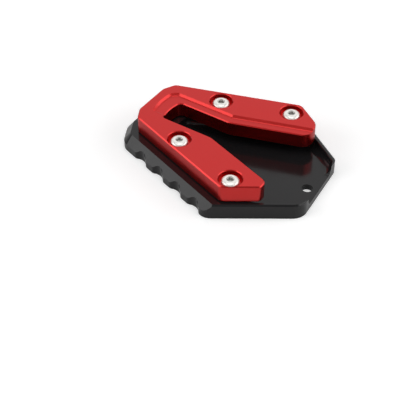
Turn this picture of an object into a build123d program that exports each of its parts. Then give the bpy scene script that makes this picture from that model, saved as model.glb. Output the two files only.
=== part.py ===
from build123d import *
import os
from math import atan2, radians, sqrt, tan

# Kickstand foot enlarger: a base plate with a foot pocket, a V-shaped clamp plate and four button-head screws
# Millimetres, X along the plate with the nose at +X, Z up, origin under the middle of the base.

# Base plate: plan sizes at the sharp corners, lengths along the middle line
base_length = 115.0
base_thickness = 9.0
heel_width = 25.6
heel_corner_length = 5.9
heel_corner_width = 49.0
shoulder_width = 95.2
nose_length = 40.3
nose_width = 41.7
nose_skew_angle = 5.5
heel_radius = 8.0
shoulder_radius = 6.9
near_nose_radius = 8.5
far_nose_radius = 3.5
rim_chamfer = 0.8

# Bevel round the heel and the long sides, with grip scallops in the long sides
bevel = 3.8
bevel_height = 5.0
bevel_overlap = 1.0
scallop_pitch = 15.6
scallop_gap = 0.3
scallop_depth = 1.9
scallop_radius = 6.0
scallop_lip_radius = 3.0

# Foot pocket, which breaks out through the nose end, and the small hole in its floor
floor_thickness = 3.5
pocket_heel_wall = 25.6
pocket_screw_wall = 4.3
pocket_nose_rim = 2.5
pocket_nose_overrun = 0.15
pocket_nose_radius = 8.5
pocket_heel_radius = 7.0
pocket_shoulder_radius = 10.0
pocket_foot_radius = 3.5
pocket_edge_chamfer = 0.4
mouth_width = 29.2
mouth_offset = 1.6
mouth_overrun = 8.0
hole_diameter = 6.0
hole_nose_distance = 6.1
hole_offset = -1.1

# Clamp plate: the borders are the strips of base that stay in view round it
clamp_thickness = 10.5
side_border = 4.05
nose_border = 2.3
tip_setback = 18.3
tip_skew_angle = 1.1
tip_width = 7.7
tip_inner_share = 0.48
far_tip_outer_share = 0.42
near_tip_outer_share = 0.25
clamp_corner_radius = 4.0
top_chamfer = 0.6
bottom_chamfer = 0.9

# V-slot for the leg of the stand
slot_width = 17.3
slot_offset = -1.55
slot_bridge = 13.4
slot_flare_length = 42.2
slot_end_bow = 1.5
slot_end_radius = 3.0
slot_bend_radius = 10.0
slot_overrun = 10.0

# Relief: a shallow step beside the slot, on the far arm and round the slot's end
relief_depth = 1.4
relief_side_width = 5.5
relief_end_width = 8.1
relief_corner_radius = 6.0
relief_near_width = 7.1
relief_wall_angle = 45.0
relief_foot_radius = 1.0
ledge_chamfer = 0.5

# M5 button-head socket screws: two in each arm, placed from the arm's outer edge and its two corners
screw_diameter = 5.0
screw_engagement = 6.65
screw_tip_chamfer = 0.6
head_diameter = 9.5
head_height = 2.75
head_rim = 1.5
head_flat_diameter = 4.8
head_bulge = 0.35
socket_width = 3.0
socket_mouth_diameter = 4.2
socket_depth = 1.6
head_recess = 0.4
counterbore_diameter = 12.8
counterbore_chamfer = 0.4
screw_hole_clearance = 0.25
thread_clearance = 0.05
far_screw_edge_distance = 7.95
far_screw_heel_distance = 28.75
far_screw_shoulder_distance = 4.1
near_heel_screw_edge_distance = 6.9
near_nose_screw_edge_distance = 8.3
near_screw_heel_distance = 28.9
near_screw_shoulder_distance = 2.1

# Values worked out from the sizes above
nose_x = base_length / 2
shoulder_x = nose_x - nose_length
heel_corner_x = heel_corner_length - nose_x
side_slope = (shoulder_width - heel_corner_width) / 2 / (shoulder_x - heel_corner_x)
nose_slope = (shoulder_width - nose_width) / 2 / nose_length
clamp_border = bevel + side_border
clamp_top = base_thickness + clamp_thickness
counterbore_depth = head_height + head_recess
seat_height = clamp_top - counterbore_depth
screw_length = seat_height - base_thickness + screw_engagement
tip_x = nose_x - tip_setback
slot_end_x = clamp_border + slot_bridge - nose_x
slot_bend_x = tip_x - slot_flare_length


def inset(points, margins):
    """Corners of a polygon after each edge has moved inwards by its own margin (points run anticlockwise)."""
    lines = []
    for start, end, margin in zip(points, points[1:] + points[:1], margins):
        along = (end - start).normalized()
        inwards = Vector(-along.Y, along.X)
        lines.append((start + inwards * margin, along))
    corners = []
    for (first, along), (second, across) in zip(lines[-1:] + lines[:-1], lines):
        distance = (second - first).cross(across).Z / along.cross(across).Z
        corners.append(first + along * distance)
    return corners


def mirrored(upper_half):
    """Full set of polygon corners from those on the far side (+Y), which run from the nose to the heel."""
    lower_half = [Vector(point.X, -point.Y) for point in reversed(upper_half)]
    return lower_half[-1:] + upper_half + lower_half[:-1]


def rounded_face(points, radii):
    """Face inside a polygon, each corner rounded by its own radius; a radius of 0 stays sharp."""
    face = make_face(Polyline(*points, close=True))
    for point, radius in zip(points, radii):
        if radius:
            corner = face.vertices().sort_by_distance(point)[0]
            face = fillet(corner, radius)
    return face


def side_half_width(x):
    """Half the distance between the long sides, carried on straight to any X."""
    return heel_corner_width / 2 + side_slope * (x - heel_corner_x)


def tangent_factor(start, corner, end):
    """Length that a rounding takes from each edge at a corner, for each millimetre of its radius."""
    turn = (corner - start).get_angle(end - corner)
    return tan(radians(turn / 2))


def nose_corner(side, skew_angle):
    """Sharp corner on one side (+1 far, -1 near), where an end slanted by an angle meets the nose side."""
    skew = side * tan(radians(skew_angle))
    step_back = skew * nose_width / 2 / (1 - skew * nose_slope)
    return Vector(nose_x - step_back, side * (nose_width / 2 + nose_slope * step_back))


shoulder = Vector(shoulder_x, shoulder_width / 2)
heel_corner = Vector(heel_corner_x, heel_corner_width / 2)
heel = Vector(-nose_x, heel_width / 2)


def plan_points(skew_angle):
    """Sharp corners of the plan with a slanted nose end, anticlockwise from the near nose corner."""
    points = mirrored([nose_corner(1, skew_angle), shoulder, heel_corner, heel])
    points[0] = nose_corner(-1, skew_angle)
    return points


# Outline of the base, and that of the clamp, which is set back from it and has its own slant at the tips
base_points = plan_points(nose_skew_angle)
clamp_margins = [tip_setback, nose_border] + [clamp_border] * 5 + [nose_border]
clamp_points = inset(plan_points(tip_skew_angle), clamp_margins)
clamp_shoulder = clamp_points[2]
clamp_corner = clamp_points[3]
arm_along = (clamp_shoulder - clamp_corner).normalized()
arm_inwards = Vector(arm_along.Y, -arm_along.X)


def arm_point(side, corner, distance, edge_distance):
    """Point in one arm (+1 far, -1 near): along its outer edge from a corner, and in from that edge."""
    point = corner + arm_along * distance + arm_inwards * edge_distance
    return Vector(point.X, side * point.Y)


screw_points = [
    arm_point(1, clamp_corner, far_screw_heel_distance, far_screw_edge_distance),
    arm_point(1, clamp_shoulder, -far_screw_shoulder_distance, far_screw_edge_distance),
    arm_point(-1, clamp_corner, near_screw_heel_distance, near_heel_screw_edge_distance),
    arm_point(-1, clamp_shoulder, -near_screw_shoulder_distance, near_nose_screw_edge_distance),
]


def scallop_centres():
    """Axes of the scallop cutter outside both long sides, as many as fit between the corners."""
    side = shoulder - heel_corner
    along = side.normalized()
    outwards = Vector(-along.Y, along.X)
    lip_height = scallop_radius - scallop_depth + scallop_lip_radius
    lip_reach = sqrt((scallop_radius + scallop_lip_radius) ** 2 - lip_height ** 2)
    shoulder_end = shoulder_radius * tangent_factor(base_points[1], shoulder, heel_corner)
    heel_end = heel_radius * tangent_factor(shoulder, heel_corner, heel)
    first = shoulder_end + scallop_gap + lip_reach
    row_length = side.length - first - lip_reach - scallop_gap - heel_end
    centres = []
    for number in range(int(row_length // scallop_pitch) + 1):
        step = first + number * scallop_pitch
        centre = shoulder - along * step + outwards * (scallop_radius - scallop_depth)
        centres += [centre, Vector(centre.X, -centre.Y)]
    return centres


def base_outline():
    """Plan of the base plate with its scallops and their rounded lips."""
    nose_radii = [near_nose_radius, far_nose_radius]
    heel_radii = [heel_radius] * 4
    outline = rounded_face(base_points, nose_radii + [shoulder_radius] + heel_radii + [shoulder_radius])
    centres = scallop_centres()
    outline -= [Pos(*centre) * Circle(scallop_radius) for centre in centres]
    lips = []
    for vertex in outline.vertices():
        gap = min((Vector(*vertex) - centre).length for centre in centres)
        if gap < scallop_radius * 1.001:
            lips.append(vertex)
    return fillet(lips, scallop_lip_radius)


def bevelled_block():
    """Block with the bevel: the heel and long sides run on past the nose, so the nose stays upright."""
    end_x = base_points[0].X
    points = inset(mirrored([Vector(end_x, side_half_width(end_x)), heel_corner, heel]), [-bevel_overlap] * 6)
    block_radius = heel_radius + bevel_overlap
    block = extrude(rounded_face(points, [0, 0] + [block_radius] * 4), base_thickness)
    top = block.faces().sort_by(Axis.Z)[-1]
    bevel_edges = top.edges().sort_by(Axis.X)[:-1]
    reach = (bevel + bevel_overlap) / bevel
    return chamfer(bevel_edges, bevel * reach, bevel_height * reach, reference=top)


def pocket_cutter():
    """Foot pocket with a rounded foot and an eased top edge; a mouth takes its floor out at the nose end."""
    far_heel = Vector(-nose_x, side_half_width(-nose_x))
    near_heel = Vector(far_heel.X, -far_heel.Y)
    side_wall = clamp_border + far_screw_edge_distance + pocket_screw_wall
    margins = [-pocket_nose_overrun, pocket_nose_rim, side_wall, pocket_heel_wall, side_wall, pocket_nose_rim]
    points = inset(base_points[:3] + [far_heel, near_heel] + base_points[-1:], margins)
    nose_radii = [pocket_nose_radius] * 2
    heel_radii = [pocket_heel_radius] * 2
    plan = rounded_face(points, nose_radii + [pocket_shoulder_radius] + heel_radii + [pocket_shoulder_radius])
    pocket = Pos(Z=floor_thickness) * extrude(plan, base_thickness)
    foot_radius = min(pocket_foot_radius, 0.9 * (base_thickness - floor_thickness))
    pocket = fillet(pocket.faces().sort_by(Axis.Z)[0].edges(), foot_radius)
    mouth_plan = Pos(nose_x, mouth_offset) * Rectangle(2 * mouth_overrun, mouth_width)
    mouth = Pos(Z=floor_thickness) * extrude(mouth_plan, base_thickness)
    mouth = fillet(mouth.faces().sort_by(Axis.Z)[0].edges().filter_by(Axis.X), foot_radius)
    flare_start = Pos(Z=base_thickness - pocket_edge_chamfer)
    flare = flare_start * extrude(plan, amount=2 * pocket_edge_chamfer, taper=-45)
    return pocket + mouth + flare


def upright(radius, bottom, height):
    """Upright cylinder that starts at the given height."""
    return Pos(Z=bottom) * Cylinder(radius, height, align=(Align.CENTER, Align.CENTER, Align.MIN))


def make_base_plate():
    """Black base plate: bevelled, scalloped, with the foot pocket, the small hole and four tapped holes."""
    plate = extrude(base_outline(), base_thickness)
    plate = chamfer(plate.faces().sort_by(Axis.Z)[-1].edges(), rim_chamfer)
    plate &= bevelled_block()
    plate -= pocket_cutter()
    plate -= Pos(nose_x - hole_nose_distance, hole_offset) * upright(hole_diameter / 2, 0, base_thickness)
    tapped_hole = upright(screw_diameter / 2 + thread_clearance, 0, base_thickness)
    plate -= [Pos(*point) * tapped_hole for point in screw_points]
    return plate


def slot_edge(offset):
    """End, bend and mouth of the slot's far edge, moved out by an offset; Y counts from the slot's middle."""
    half_width = slot_width / 2 + offset
    tip_half_width = (clamp_points[1].Y - clamp_points[0].Y) / 2 - tip_width
    flare = atan2(tip_half_width - slot_width / 2, slot_flare_length)
    bend_x = slot_bend_x - offset * tan(flare / 2)
    mouth_x = tip_x + slot_overrun
    mouth_half_width = half_width + tan(flare) * (mouth_x - bend_x)
    end_x = slot_end_x + slot_end_bow
    return Vector(end_x, half_width), Vector(bend_x, half_width), Vector(mouth_x, mouth_half_width)


def slot_face():
    """V-slot: a neck with a bowed end that flares out between the arms."""
    end, bend, mouth = slot_edge(0)
    near_end, near_bend, near_mouth = [Vector(point.X, -point.Y) for point in (end, bend, mouth)]
    sides = Polyline(end, bend, mouth, near_mouth, near_bend, near_end)
    bow = ThreePointArc(near_end, (slot_end_x, 0), end)
    face = make_face(sides + bow)
    for point, radius in [(end, slot_end_radius), (near_end, slot_end_radius),
                          (bend, slot_bend_radius), (near_bend, slot_bend_radius)]:
        face = fillet(face.vertices().sort_by_distance(point)[0], radius)
    return Pos(Y=slot_offset) * face


def relief_cutter():
    """Shallow step along the far arm and the slot's end: a sloping wall, a rounded foot, an eased edge."""
    _, bend, mouth = slot_edge(relief_side_width)
    apex_x = slot_end_x - relief_end_width
    corner_x = apex_x + slot_end_bow
    far_corner = Vector(corner_x, bend.Y)
    near_corner = Vector(corner_x, -relief_near_width)
    near_mouth = Vector(mouth.X, -relief_near_width)
    outline = Polyline(far_corner, bend, mouth, near_mouth, near_corner)
    bow = ThreePointArc(near_corner, (apex_x, (bend.Y - relief_near_width) / 2), far_corner)
    face = make_face(outline + bow)
    face = fillet(face.vertices().sort_by_distance(far_corner)[0], relief_corner_radius)
    face = Pos(0, slot_offset, clamp_top) * face
    step = extrude(face, amount=-relief_depth, taper=relief_wall_angle)
    step = fillet(step.faces().sort_by(Axis.Z)[0].edges(), relief_foot_radius)
    easing_depth = relief_depth + ledge_chamfer
    easing = Pos(Z=clamp_top - easing_depth) * extrude(slot_face(), amount=2 * ledge_chamfer, taper=-45)
    easing &= extrude(face, amount=-easing_depth, taper=relief_wall_angle)
    return step + easing


def screw_pocket():
    """Cutter for one screw in the clamp: counterbore with an eased rim, and a clearance hole below it."""
    bore_radius = counterbore_diameter / 2
    rim = Cone(bore_radius, bore_radius + counterbore_chamfer, counterbore_chamfer,
               align=(Align.CENTER, Align.CENTER, Align.MAX))
    bore = upright(bore_radius, seat_height, counterbore_depth)
    hole = upright(screw_diameter / 2 + screw_hole_clearance, base_thickness, clamp_thickness)
    return bore + hole + Pos(Z=clamp_top) * rim


def clamp_outline():
    """Plan of the clamp plate with its slot; each tip's corners are rounded over shares of its end."""
    outline = rounded_face(clamp_points, [0, 0] + [clamp_corner_radius] * 6) - slot_face()
    tips = outline.vertices().sort_by(Axis.X)[-4:].sort_by(Axis.Y)
    near_outer, near_inner, far_inner, far_outer = [Vector(*vertex) for vertex in tips]
    bend = slot_edge(0)[1]
    far_bend = Vector(bend.X, slot_offset + bend.Y)
    near_bend = Vector(bend.X, slot_offset - bend.Y)
    roundings = [
        (clamp_shoulder, far_outer, far_inner, far_tip_outer_share),
        (far_bend, far_inner, far_outer, tip_inner_share),
        (near_bend, near_inner, near_outer, tip_inner_share),
        (clamp_points[-1], near_outer, near_inner, near_tip_outer_share),
    ]
    for start, corner, end, share in roundings:
        radius = share * (end - corner).length / tangent_factor(start, corner, end)
        outline = fillet(outline.vertices().sort_by_distance(corner)[0], radius)
    return outline


def make_clamp_plate():
    """Red V-shaped clamp plate with chamfered edges, the relief and four counterbored screw holes."""
    plate = Pos(Z=base_thickness) * extrude(clamp_outline(), clamp_thickness)
    plate = chamfer(plate.faces().sort_by(Axis.Z)[-1].edges(), top_chamfer)
    plate = chamfer(plate.faces().sort_by(Axis.Z)[0].edges(), bottom_chamfer)
    plate -= relief_cutter()
    plate -= [Pos(*point) * screw_pocket() for point in screw_points]
    return plate


def make_screw():
    """Button-head screw with a countersunk hexagon socket; the underside of its head is at Z = 0."""
    shank_radius = screw_diameter / 2
    head_radius = head_diameter / 2
    flat_radius = head_flat_diameter / 2
    rim_point = Vector(head_radius, head_rim)
    flat_point = Vector(flat_radius, head_height)
    across_dome = flat_point - rim_point
    bulge = Vector(across_dome.Y, -across_dome.X).normalized() * head_bulge
    dome_point = (rim_point + flat_point) * 0.5 + bulge
    lower = Polyline(flat_point, (0, head_height), (0, -screw_length),
                     (shank_radius - screw_tip_chamfer, -screw_length),
                     (shank_radius, screw_tip_chamfer - screw_length),
                     (shank_radius, 0), (head_radius, 0), rim_point)
    dome = ThreePointArc(rim_point, dome_point, flat_point)
    body = revolve(Plane.XZ * make_face(lower + dome), Axis.Z)
    hexagon = RegularPolygon(socket_width / 2, 6, major_radius=False)
    socket = Pos(Z=head_height - socket_depth) * extrude(hexagon, socket_depth)
    mouth = Cone(socket_width / 2, socket_mouth_diameter / 2, (socket_mouth_diameter - socket_width) / 2,
                 align=(Align.CENTER, Align.CENTER, Align.MAX))
    return body - socket - Pos(Z=head_height) * mouth


def make_clamp_screws():
    """The four screws, seated in their counterbores."""
    screw = make_screw()
    return Compound([Pos(point.X, point.Y, seat_height) * screw for point in screw_points])


# The origin goes under the middle of the base plate's box
base_plate = make_base_plate()
middle = base_plate.bounding_box().center()
to_origin = Pos(-middle.X, -middle.Y)

os.makedirs("parts", exist_ok=True)
export_step(to_origin * base_plate, "parts/base_plate.step")
export_step(to_origin * make_clamp_plate(), "parts/clamp_plate.step")
export_step(to_origin * make_clamp_screws(), "parts/clamp_screws.step")
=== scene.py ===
# %% [markdown]
# # A wide foot for a side stand, dressed in Blender
#
# The object is a wide foot that clamps round the end of a motorbike's side stand, so that the stand
# doesn't sink into soft ground. It has a black base plate with a pocket for the stand's own foot, a red
# clamp plate in the shape of a V, and four small screws that pull the two together. The solids come from
# the CAD model as a fixed frame, in metres. This script gives them their finishes, makes the screws anew
# with real threads and sockets, and sets up the light and the camera. Each step has a short text like
# this one before its code.

# %% Load the solids
from math import asin, ceil, cos, pi, radians, sin, tau

import bmesh
import bpy
from mathutils import Matrix, Quaternion, Vector


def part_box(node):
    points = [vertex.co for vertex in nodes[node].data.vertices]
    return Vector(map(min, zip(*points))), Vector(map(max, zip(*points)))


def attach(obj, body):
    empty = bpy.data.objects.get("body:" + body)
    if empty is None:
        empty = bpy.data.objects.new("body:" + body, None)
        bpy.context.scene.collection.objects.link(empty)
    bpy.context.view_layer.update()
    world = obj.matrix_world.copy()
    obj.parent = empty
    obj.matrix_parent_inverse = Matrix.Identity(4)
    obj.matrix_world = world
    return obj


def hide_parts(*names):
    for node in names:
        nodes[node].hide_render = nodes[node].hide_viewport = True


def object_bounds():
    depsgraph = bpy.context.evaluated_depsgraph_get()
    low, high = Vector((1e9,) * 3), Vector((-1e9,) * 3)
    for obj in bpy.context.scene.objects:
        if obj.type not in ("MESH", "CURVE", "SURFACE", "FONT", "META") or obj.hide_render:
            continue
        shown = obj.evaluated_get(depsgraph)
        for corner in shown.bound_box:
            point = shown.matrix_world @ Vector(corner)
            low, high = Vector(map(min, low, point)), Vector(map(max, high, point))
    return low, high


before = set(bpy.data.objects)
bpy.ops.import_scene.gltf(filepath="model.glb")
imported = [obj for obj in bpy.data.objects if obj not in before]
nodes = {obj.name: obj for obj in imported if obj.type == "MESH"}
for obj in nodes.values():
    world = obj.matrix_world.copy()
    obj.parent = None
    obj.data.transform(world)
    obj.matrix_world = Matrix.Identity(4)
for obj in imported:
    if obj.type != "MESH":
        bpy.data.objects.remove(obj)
cad_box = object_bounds()
MM = 0.001

for name in sorted(nodes):
    low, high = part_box(name)
    print(name, "measures", [round(side / MM, 1) for side in high - low], "mm")

# %% [markdown]
# ## Colours and nodes
#
# A colour picker shows sRGB values, but shaders work with linear light, so one function turns a hex
# value into linear numbers. A material is a small graph of nodes. One more function adds a node to a
# graph, sets its options, and fills or links its inputs, which keeps every graph below short enough to
# read in one go. Many of the graphs turn a noise into a gloss. Noise values crowd round the middle, so the
# range that is spread over the gloss is a good deal narrower than 0 to 1.

# %% Helpers for colours and node graphs
def linear(hex_colour):
    """Linear RGBA from an sRGB hex value."""
    channels = [int(hex_colour[i:i + 2], 16) / 255 for i in (1, 3, 5)]
    return [c / 12.92 if c <= 0.04045 else ((c + 0.055) / 1.055) ** 2.4 for c in channels] + [1.0]


def add_node(tree, kind, inputs=None, **options):
    """Add a node; an input is linked when its value is another node's output, and set otherwise."""
    node = tree.nodes.new(kind)
    for name, value in options.items():
        setattr(node, name, value)
    for name, value in (inputs or {}).items():
        if isinstance(value, bpy.types.NodeSocket):
            tree.links.new(value, node.inputs[name])
        else:
            node.inputs[name].default_value = value
    return node


def empty_tree(owner):
    """Switch on the node graph of a material or world and return it without any nodes."""
    owner.use_nodes = True
    owner.node_tree.nodes.clear()
    return owner.node_tree


noise_low, noise_high = 0.3, 0.7
print("middle grey in linear light:", [round(c, 3) for c in linear("#808080")])

# %% [markdown]
# ## Black anodised aluminium
#
# The base is milled from aluminium plate and anodised black. Anodising grows a hard oxide skin that
# takes up dye, and the skin's surface is smooth and clear. To the eye it is black glass with a little
# haze: almost no colour of its own, and a weak, soft mirror image of what stands round it. A metal shader
# would tint that image, so this is a plain dielectric with a dark colour. The cutter's marks under the
# skin show as a slow change of gloss and a very fine grain, about a third of a millimetre wide.

# %% Material of the base plate
def black_anodised():
    material = bpy.data.materials.new("black_anodised_aluminium_milled")
    tree = empty_tree(material)
    place = add_node(tree, "ShaderNodeTexCoord").outputs["Object"]
    haze = add_node(tree, "ShaderNodeTexNoise", {"Vector": place, "Scale": 1 / (9 * MM), "Detail": 2.0})
    gloss = add_node(tree, "ShaderNodeMapRange", {
        "Value": haze.outputs["Fac"], "From Min": noise_low, "From Max": noise_high,
        "To Min": 0.13, "To Max": 0.19})
    grain = add_node(tree, "ShaderNodeTexNoise", {"Vector": place, "Scale": 1 / (0.35 * MM), "Detail": 3.0})
    bump = add_node(tree, "ShaderNodeBump", {
        "Height": grain.outputs["Fac"], "Strength": 0.05, "Distance": 0.02 * MM})
    shader = add_node(tree, "ShaderNodeBsdfPrincipled", {
        "Base Color": linear("#1C1B1C"), "Roughness": gloss.outputs["Result"], "IOR": 1.5,
        "Specular IOR Level": 0.31, "Normal": bump.outputs["Normal"]})
    add_node(tree, "ShaderNodeOutputMaterial", {"Surface": shader.outputs["BSDF"]})
    return material


black_finish = black_anodised()
print("base finish:", black_finish.name)

# %% [markdown]
# ## Red anodised aluminium
#
# The clamp plate is the same metal, but it is blasted with fine beads before it goes into a red bath.
# The beads leave a satin surface, and the dye lies between the metal and the eye, so it colours the
# metal's reflections. That is a metal shader with a deep red colour. On top of it the clear face of the
# oxide skin gives a faint white sheen, which lifts the red to the lighter tone that a flat face shows: the
# shader's coat does that. The grazing tint is red too, because light that skims the plate still passes
# through the dye.

# %% Material of the clamp plate
def red_anodised():
    material = bpy.data.materials.new("red_anodised_aluminium_blasted")
    tree = empty_tree(material)
    place = add_node(tree, "ShaderNodeTexCoord").outputs["Object"]
    beads = add_node(tree, "ShaderNodeTexNoise", {"Vector": place, "Scale": 1 / (0.3 * MM), "Detail": 2.0})
    bump = add_node(tree, "ShaderNodeBump", {
        "Height": beads.outputs["Fac"], "Strength": 0.06, "Distance": 0.02 * MM})
    cloud = add_node(tree, "ShaderNodeTexNoise", {"Vector": place, "Scale": 1 / (6 * MM), "Detail": 2.0})
    satin = add_node(tree, "ShaderNodeMapRange", {
        "Value": cloud.outputs["Fac"], "From Min": noise_low, "From Max": noise_high,
        "To Min": 0.29, "To Max": 0.35})
    shader = add_node(tree, "ShaderNodeBsdfPrincipled", {
        "Base Color": linear("#C61511"), "Metallic": 1.0, "Roughness": satin.outputs["Result"],
        "Specular Tint": linear("#D04A44"), "Coat Weight": 0.72, "Coat Roughness": 0.22,
        "Normal": bump.outputs["Normal"], "Coat Normal": bump.outputs["Normal"]})
    add_node(tree, "ShaderNodeOutputMaterial", {"Surface": shader.outputs["BSDF"]})
    return material


red_finish = red_anodised()
print("clamp finish:", red_finish.name)

# %% [markdown]
# ## Dress the plates
#
# Both plates keep their CAD meshes, which already have the right chamfers, scallops and pockets, so they
# only need their new materials in their slots.

# %% Finishes on the two plates
for name, finish in (("base_plate", black_finish), ("clamp_plate", red_finish)):
    nodes[name].data.materials.clear()
    nodes[name].data.materials.append(finish)
    print(name, "is finished in", finish.name, "on", len(nodes[name].data.polygons), "triangles")

# %% [markdown]
# ## Stainless steel
#
# The screws are turned from stainless steel: bright, nearly white, with fine rings round the axis that
# the tool leaves on the head. The rings need each screw's own axis, so the mesh carries that distance as
# an attribute, and a noise along it changes the gloss from ring to ring. The rings are drawn 0.12 mm
# wide, coarser than real ones, so that they show at all. The sockets are pressed in with oil and stay
# duller, so they get a second finish: its higher roughness is real, and its darker colour is painted shade
# for the deep recess.

# %% Materials of the screws
def stainless_steel(name, colour, smoothest, dullest):
    material = bpy.data.materials.new(name)
    tree = empty_tree(material)
    radius = add_node(tree, "ShaderNodeAttribute", attribute_name="axis_distance").outputs["Fac"]
    rings = add_node(tree, "ShaderNodeTexNoise", {
        "W": radius, "Scale": 1 / (0.12 * MM), "Detail": 1.0}, noise_dimensions="1D")
    gloss = add_node(tree, "ShaderNodeMapRange", {
        "Value": rings.outputs["Fac"], "From Min": noise_low, "From Max": noise_high,
        "To Min": smoothest, "To Max": dullest})
    shader = add_node(tree, "ShaderNodeBsdfPrincipled", {
        "Base Color": linear(colour), "Metallic": 1.0, "Roughness": gloss.outputs["Result"]})
    add_node(tree, "ShaderNodeOutputMaterial", {"Surface": shader.outputs["BSDF"]})
    return material


turned_steel = stainless_steel("stainless_steel_turned", "#F1EFEA", 0.34, 0.48)
# socket finish: rougher as the real socket is, and darker in colour as painted shade for the recess
socket_steel_painted_shade = stainless_steel("stainless_steel_socket_painted_shade", "#BCBAB6", 0.45, 0.6)
print("screw finishes:", turned_steel.name, "and", socket_steel_painted_shade.name)

# %% [markdown]
# ## Where the screws stand
#
# The CAD screws have plain shanks, so a new piece takes their place. They stand one in each quarter of
# the plan, and their places, heights and head width are read from the CAD mesh, so the new screws sit in
# the same counterbores.

# %% Measure the CAD screws
quarters = {}
for vertex in nodes["clamp_screws"].data.vertices:
    quarters.setdefault((vertex.co.x > 0, vertex.co.y > 0), []).append(vertex.co)

screw_axes = []
for points in quarters.values():
    low_x, high_x = min(p.x for p in points), max(p.x for p in points)
    low_y, high_y = min(p.y for p in points), max(p.y for p in points)
    screw_axes.append(((low_x + high_x) / 2, (low_y + high_y) / 2))
low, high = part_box("clamp_screws")
head_radius = (high_x - low_x) / 2
head_height = 2.75 * MM
seat_height = high.z - head_height
shank_length = seat_height - low.z
print(len(screw_axes), "screws, heads", round(2 * head_radius / MM, 2), "mm wide, shanks",
      round(shank_length / MM, 2), "mm long")

# %% [markdown]
# ## A button head
#
# A button head is a low dome over a short rim. It is turned on a lathe, and a lathe is what spin is: the
# outline from the axis to the edge of the socket, as a chain of edges, goes once round the axis. The dome's
# arc is itself a spin of one point about the centre of its curve. The chain starts on the axis, so its
# first ring shrinks to a point, and merging doubles closes that pole.

# %% Turn the head
turn_steps = 48
dome_steps = 8
rim_height = 1.5 * MM
rim_break = 0.15 * MM
flat_radius = 2.4 * MM
dome_bulge = 0.35 * MM
mouth_radius = 2.1 * MM
doubles = 0.001 * MM

rim = Vector((head_radius, 0, rim_height))
crown = Vector((flat_radius, 0, head_height))
chord = crown - rim
dome_radius = (chord.length_squared / 4 + dome_bulge ** 2) / (2 * dome_bulge)
outwards = Vector((chord.z, 0, -chord.x)).normalized()
dome_centre = (rim + crown) / 2 - outwards * (dome_radius - dome_bulge)

head = bmesh.new()
outline = [
    Vector((0, 0, 0)), Vector((head_radius - rim_break, 0, 0)), Vector((head_radius, 0, rim_break)), rim]
chain = [head.verts.new(point) for point in outline]
for pair in zip(chain, chain[1:]):
    head.edges.new(pair)
dome = bmesh.ops.spin(head, geom=[chain[-1]], cent=dome_centre, axis=(0, 1, 0),
                      angle=-2 * asin(chord.length / 2 / dome_radius), steps=dome_steps)
crown_point = next(part for part in dome["geom_last"] if isinstance(part, bmesh.types.BMVert))
mouth_point = head.verts.new((mouth_radius, 0, head_height))
head.edges.new((crown_point, mouth_point))
bmesh.ops.spin(head, geom=head.verts[:] + head.edges[:], cent=(0, 0, 0), axis=(0, 0, 1),
               angle=tau, steps=turn_steps, use_merge=True)
bmesh.ops.remove_doubles(head, verts=head.verts, dist=doubles)
print("head:", len(head.faces), "faces, open edges:", sum(edge.is_boundary for edge in head.edges))

# %% [markdown]
# ## The hexagon socket
#
# A hexagon key drives the screw. The real socket has a small cone at its mouth, which leaves a curved
# edge on each of the six walls. So the mouth's ring is bridged to a hexagon whose sides are divided into
# as many short edges as the ring has, and each of those points goes down to the depth that the cone has
# at its distance from the axis. The walls are an extrusion of that loop, and the floor is a face with a
# drill point poked into it.

# %% Sink the socket
socket_width = 3.0 * MM
socket_depth = 1.6 * MM
drill_point = 0.4 * MM

mouth_edges = [edge for edge in head.edges if edge.is_boundary]
corner_radius = socket_width / 2 / cos(pi / 6)
corners = bmesh.ops.create_circle(head, segments=6, radius=corner_radius)["verts"]
sides = list({edge for corner in corners for edge in corner.link_edges})
bmesh.ops.subdivide_edges(head, edges=sides, cuts=turn_steps // 6 - 1)
hexagon = [edge for edge in head.edges if edge.is_wire]
for vertex in {vertex for edge in hexagon for vertex in edge.verts}:
    vertex.co.z = head_height - mouth_radius + vertex.co.xy.length
socket_faces = bmesh.ops.bridge_loops(head, edges=mouth_edges + hexagon)["faces"]

walls = bmesh.ops.extrude_edge_only(head, edges=[edge for edge in head.edges if edge.is_boundary])["geom"]
socket_faces += [part for part in walls if isinstance(part, bmesh.types.BMFace)]
for part in walls:
    if isinstance(part, bmesh.types.BMVert):
        part.co.z = head_height - socket_depth
floor_edges = [edge for edge in head.edges if edge.is_boundary]
bottom = bmesh.ops.contextual_create(head, geom=floor_edges)["faces"]
socket_faces += bmesh.ops.poke(head, faces=bottom, offset=-drill_point)["faces"]
for face in socket_faces:
    face.material_index = 1
bmesh.ops.recalc_face_normals(head, faces=head.faces)
print("socket:", len(socket_faces), "faces, open edges:", sum(edge.is_boundary for edge in head.edges))

# %% [markdown]
# ## The thread
#
# An M5 thread climbs 0.8 mm in each turn. Spin makes it too, when every step also moves a little along the
# axis: the outline of one turn goes round and up, and its top edge meets the bottom edge of the next
# turn. The ends come out slanted, so two cuts square them off and the openings are filled. The last bit
# of the point is drawn in to a small chamfer, as a real thread is so that it starts easily. The top end
# sinks into the head.

# %% Cut the thread
pitch = 0.8 * MM
crest_radius = 2.5 * MM
root_radius = crest_radius - 0.6134 * pitch
crest_width = pitch / 8
root_width = pitch / 4
point_chamfer = 0.6 * MM
head_overlap = 0.5 * MM
spare_turns = 2
thread_steps = 24

flank = (pitch - crest_width - root_width) / 2
turns = ceil((shank_length + head_overlap) / pitch) + spare_turns
heights = [0, crest_width, crest_width + flank, crest_width + flank + root_width, pitch]
radii = [crest_radius, crest_radius, root_radius, root_radius, crest_radius]

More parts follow.
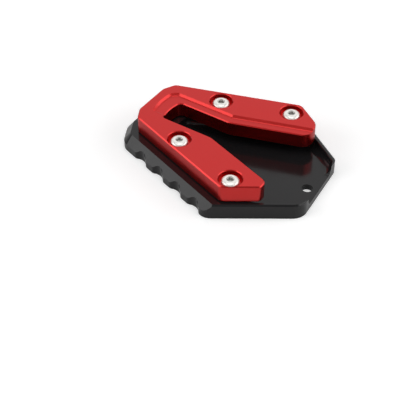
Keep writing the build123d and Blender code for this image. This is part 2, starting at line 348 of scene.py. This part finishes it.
thread = bmesh.new()
chain = [thread.verts.new((r, 0, z - shank_length - spare_turns * pitch)) for r, z in zip(radii, heights)]
for pair in zip(chain, chain[1:]):
    thread.edges.new(pair)
bmesh.ops.spin(thread, geom=thread.verts[:] + thread.edges[:], cent=(0, 0, 0), axis=(0, 0, 1),
               dvec=(0, 0, pitch / thread_steps), angle=tau * turns, steps=thread_steps * turns)
bmesh.ops.remove_doubles(thread, verts=thread.verts, dist=doubles)
for height, upwards in ((-shank_length, -1), (head_overlap, 1)):
    bmesh.ops.bisect_plane(thread, geom=thread.verts[:] + thread.edges[:] + thread.faces[:], dist=doubles,
                           plane_co=(0, 0, height), plane_no=(0, 0, upwards), clear_outer=True)
bmesh.ops.holes_fill(thread, edges=[edge for edge in thread.edges if edge.is_boundary], sides=0)
for vertex in thread.verts:
    allowed = crest_radius - point_chamfer + (vertex.co.z + shank_length)
    if vertex.co.xy.length > allowed:
        vertex.co.xy *= allowed / vertex.co.xy.length
bmesh.ops.recalc_face_normals(thread, faces=thread.faces)
print("thread:", turns, "turns,", len(thread.faces), "faces, open edges:",
      sum(edge.is_boundary for edge in thread.edges))

# %% [markdown]
# ## Four screws in their counterbores
#
# Head and thread go together into one screw with its axis at the origin. There every point's distance
# from the axis is stored for the turned rings. Copies of the screw then go to the four places, each turned
# a little further, because no two screws stop at the same angle. Edges that turn sharply are marked
# sharp, and all other faces are shaded smooth.

# %% Place the screws
thread_mesh = bpy.data.meshes.new("thread")
thread.to_mesh(thread_mesh)
head.from_mesh(thread_mesh)
axis_distance = head.verts.layers.float.new("axis_distance")
for vertex in head.verts:
    vertex[axis_distance] = vertex.co.xy.length
screw_mesh = bpy.data.meshes.new("screw")
head.to_mesh(screw_mesh)

stop_step = radians(17)
sharp_angle = radians(28)
screws = bmesh.new()
for number, (x, y) in enumerate(screw_axes):
    copy = screw_mesh.copy()
    copy.transform(Matrix.Translation((x, y, seat_height)) @ Matrix.Rotation(number * stop_step, 4, "Z"))
    screws.from_mesh(copy)
    bpy.data.meshes.remove(copy)
for face in screws.faces:
    face.smooth = True
for edge in screws.edges:
    edge.smooth = edge.calc_face_angle(0) < sharp_angle
screws_mesh = bpy.data.meshes.new("button_head_screws")
screws.to_mesh(screws_mesh)
for builder in (head, thread, screws):
    builder.free()
for spare in (thread_mesh, screw_mesh):
    bpy.data.meshes.remove(spare)
screws_mesh.materials.append(turned_steel)
screws_mesh.materials.append(socket_steel_painted_shade)

screws_piece = bpy.data.objects.new("button_head_screws", screws_mesh)
bpy.context.scene.collection.objects.link(screws_piece)
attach(screws_piece, "root")
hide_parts("clamp_screws")
print("screws:", len(screws_mesh.polygons), "faces on", len(screw_axes), "screws")

# %% [markdown]
# ## The ground
#
# The object lies on white paper that fades into a white backdrop, with a soft shadow under its edge. A
# white surface lit at a plain level renders pale grey, so the paper adds a little light of its own for
# the rays that come from the camera, just enough to reach white. It is added to the lit paper and doesn't
# replace it, so the shadow stays. Further out, where the lamps don't reach, the paper adds more, so that it
# runs into the backdrop without an edge. Mirror rays see the lit paper with hardly any of that light.
# The paper lies a hair below the object, because two faces at one height would flicker. It is clear from
# the back, and for rays that start at the object's underside, so that side gets light and can be looked
# at as well.

# %% Paper floor
floor_gap = 0.05 * MM
contact_reach = 0.3 * MM
floor_reach = 4.0
near_lift, far_lift = 0.32, 0.8
near_edge, far_edge = 0.08, 1.0
lift_for_mirrors = 0.02

floor_mesh = bpy.data.meshes.new("paper_floor")
builder = bmesh.new()
bmesh.ops.create_grid(builder, x_segments=1, y_segments=1, size=floor_reach)
bmesh.ops.translate(builder, verts=builder.verts, vec=(0, 0, cad_box[0][2] - floor_gap))
builder.to_mesh(floor_mesh)
builder.free()
floor = bpy.data.objects.new("paper_floor", floor_mesh)
bpy.context.scene.collection.objects.link(floor)

paper = bpy.data.materials.new("white_paper_matt")
tree = empty_tree(paper)
ray = add_node(tree, "ShaderNodeLightPath").outputs
straight = add_node(tree, "ShaderNodeMath", {
    0: ray["Is Camera Ray"], 1: ray["Is Transmission Ray"]}, operation="MAXIMUM")
mirrored = add_node(tree, "ShaderNodeMath", {
    0: ray["Is Glossy Ray"], 1: lift_for_mirrors}, operation="MULTIPLY")
place = add_node(tree, "ShaderNodeTexCoord").outputs["Object"]
distance = add_node(tree, "ShaderNodeVectorMath", {0: place}, operation="LENGTH")
fade = add_node(tree, "ShaderNodeMapRange", {
    "Value": distance.outputs["Value"], "From Min": near_edge, "From Max": far_edge,
    "To Min": near_lift, "To Max": far_lift})
lift = add_node(tree, "ShaderNodeMath", {
    0: straight.outputs["Value"], 1: fade.outputs["Result"], 2: mirrored.outputs["Value"]},
    operation="MULTIPLY_ADD")
glow = add_node(tree, "ShaderNodeEmission", {"Color": linear("#FFFFFF"), "Strength": lift.outputs["Value"]})
matt = add_node(tree, "ShaderNodeBsdfDiffuse", {"Color": linear("#F4F4F4")})
both = add_node(tree, "ShaderNodeAddShader", {0: matt.outputs["BSDF"], 1: glow.outputs["Emission"]})
clear = add_node(tree, "ShaderNodeBsdfTransparent")
back = add_node(tree, "ShaderNodeNewGeometry").outputs["Backfacing"]
contact = add_node(tree, "ShaderNodeMath", {0: ray["Ray Length"], 1: contact_reach}, operation="LESS_THAN")
passed = add_node(tree, "ShaderNodeMath", {0: back, 1: contact.outputs["Value"]}, operation="MAXIMUM")
one_sided = add_node(tree, "ShaderNodeMixShader", {
    0: passed.outputs["Value"], 1: both.outputs["Shader"], 2: clear.outputs["BSDF"]})
add_node(tree, "ShaderNodeOutputMaterial", {"Surface": one_sided.outputs["Shader"]})
floor_mesh.materials.append(paper)
print("floor of", paper.name, round(floor_gap / MM, 3), "mm below the object")

# %% [markdown]
# ## The room
#
# Satin metal shows the room round it, so the room matters as much as the lamps. Behind the object stands
# the white backdrop, and the flat faces mirror it. On the camera's side the room is dimmer, and that keeps
# the walls of the slot and the slope of the relief deep. The world is therefore white at the back and
# fades to grey at the front, measured by how far a direction points to the back. The camera itself always
# sees white, and soft light from all sides fills the shadows.

# %% World
camera_azimuth = radians(-56)
room_level = 0.3
backdrop_level = 1.0
fill_level = 0.28
fade_start, fade_end = 0.2, 0.6
backwards = (-cos(camera_azimuth), -sin(camera_azimuth), 0)

world = bpy.data.worlds.new("white_studio")
bpy.context.scene.world = world
tree = empty_tree(world)
ray = add_node(tree, "ShaderNodeLightPath").outputs
direction = add_node(tree, "ShaderNodeTexCoord").outputs["Generated"]
to_back = add_node(tree, "ShaderNodeVectorMath", {0: direction, 1: backwards}, operation="DOT_PRODUCT")
room = add_node(tree, "ShaderNodeMapRange", {
    "Value": to_back.outputs["Value"], "From Min": fade_start, "From Max": fade_end,
    "To Min": room_level, "To Max": backdrop_level})
mirror = add_node(tree, "ShaderNodeMath", {
    0: ray["Is Glossy Ray"], 1: ray["Is Transmission Ray"]}, operation="MAXIMUM")
other_rays = add_node(tree, "ShaderNodeMapRange", {
    "Value": mirror.outputs["Value"], "To Min": fill_level, "To Max": room.outputs["Result"]})
strength = add_node(tree, "ShaderNodeMapRange", {
    "Value": ray["Is Camera Ray"], "To Min": other_rays.outputs["Result"], "To Max": 1.0})
sky = add_node(tree, "ShaderNodeBackground", {
    "Color": linear("#FFFFFF"), "Strength": strength.outputs["Result"]})
add_node(tree, "ShaderNodeOutputWorld", {"Surface": sky.outputs["Background"]})
print("white backdrop towards", [round(part, 2) for part in backwards])

# %% [markdown]
# ## Three softboxes
#
# One softbox stands to the left of the camera, one to the right, and one hangs overhead. The left one
# shows in the bevel and the near chamfers, the right one in the end of the relief, and the top one whitens
# the screw heads and the foot of the relief's step. The left one is rolled, so that its image fills the
# bevel but stays off the flat border beside it. An area lamp is set by its power, but what a mirror shows
# is its brightness, so the power is worked out from the brightness and the size.

# %% Lamps
target = Vector((0, 0, 10 * MM))
lamp_distance = 1.1


def softbox(name, azimuth, elevation, roll, width, height, brightness):
    """Area lamp that looks at the object from a direction and is rolled about it, in degrees."""
    lamp = bpy.data.lights.new(name, "AREA")
    lamp.shape = "RECTANGLE"
    lamp.size = width
    lamp.size_y = height
    lamp.energy = brightness * pi * width * height
    az, el = radians(azimuth), radians(elevation)
    outward = Vector((cos(el) * cos(az), cos(el) * sin(az), sin(el)))
    holder = bpy.data.objects.new(name, lamp)
    holder.location = target + outward * lamp_distance
    turned = outward.to_track_quat("Z", "Y") @ Quaternion((0, 0, 1), radians(roll))
    holder.rotation_euler = turned.to_euler()
    bpy.context.scene.collection.objects.link(holder)
    print(name, "of", round(lamp.energy, 2), "W at", [round(c, 2) for c in holder.location], "m")


softbox("softbox_left", 225, 28, 25, 1.0, 0.6, 2.25)
softbox("softbox_right", 26, 32, 0, 1.3, 0.62, 1.7)
softbox("softbox_top", -56, 82, 0, 0.9, 0.9, 1.4)

# %% [markdown]
# ## The camera
#
# The camera was fitted to the photograph, and its place and lens are given here as numbers. It looks down
# at 42 degrees over the near shoulder.

# %% Camera
camera_data = bpy.data.cameras.new("camera")
camera_data.lens = 95.95
camera_data.sensor_width = 36.0
camera = bpy.data.objects.new("camera", camera_data)
camera.location = Vector((237.79, -380.32, 374.48)) * MM
camera.rotation_euler = Vector((-0.41358, 0.61531, -0.67107)).to_track_quat("-Z", "Y").to_euler()
bpy.context.scene.collection.objects.link(camera)
bpy.context.scene.camera = camera
bpy.context.scene.view_settings.view_transform = "Standard"
print("camera", round((camera.location - target).length, 3), "m from the object")
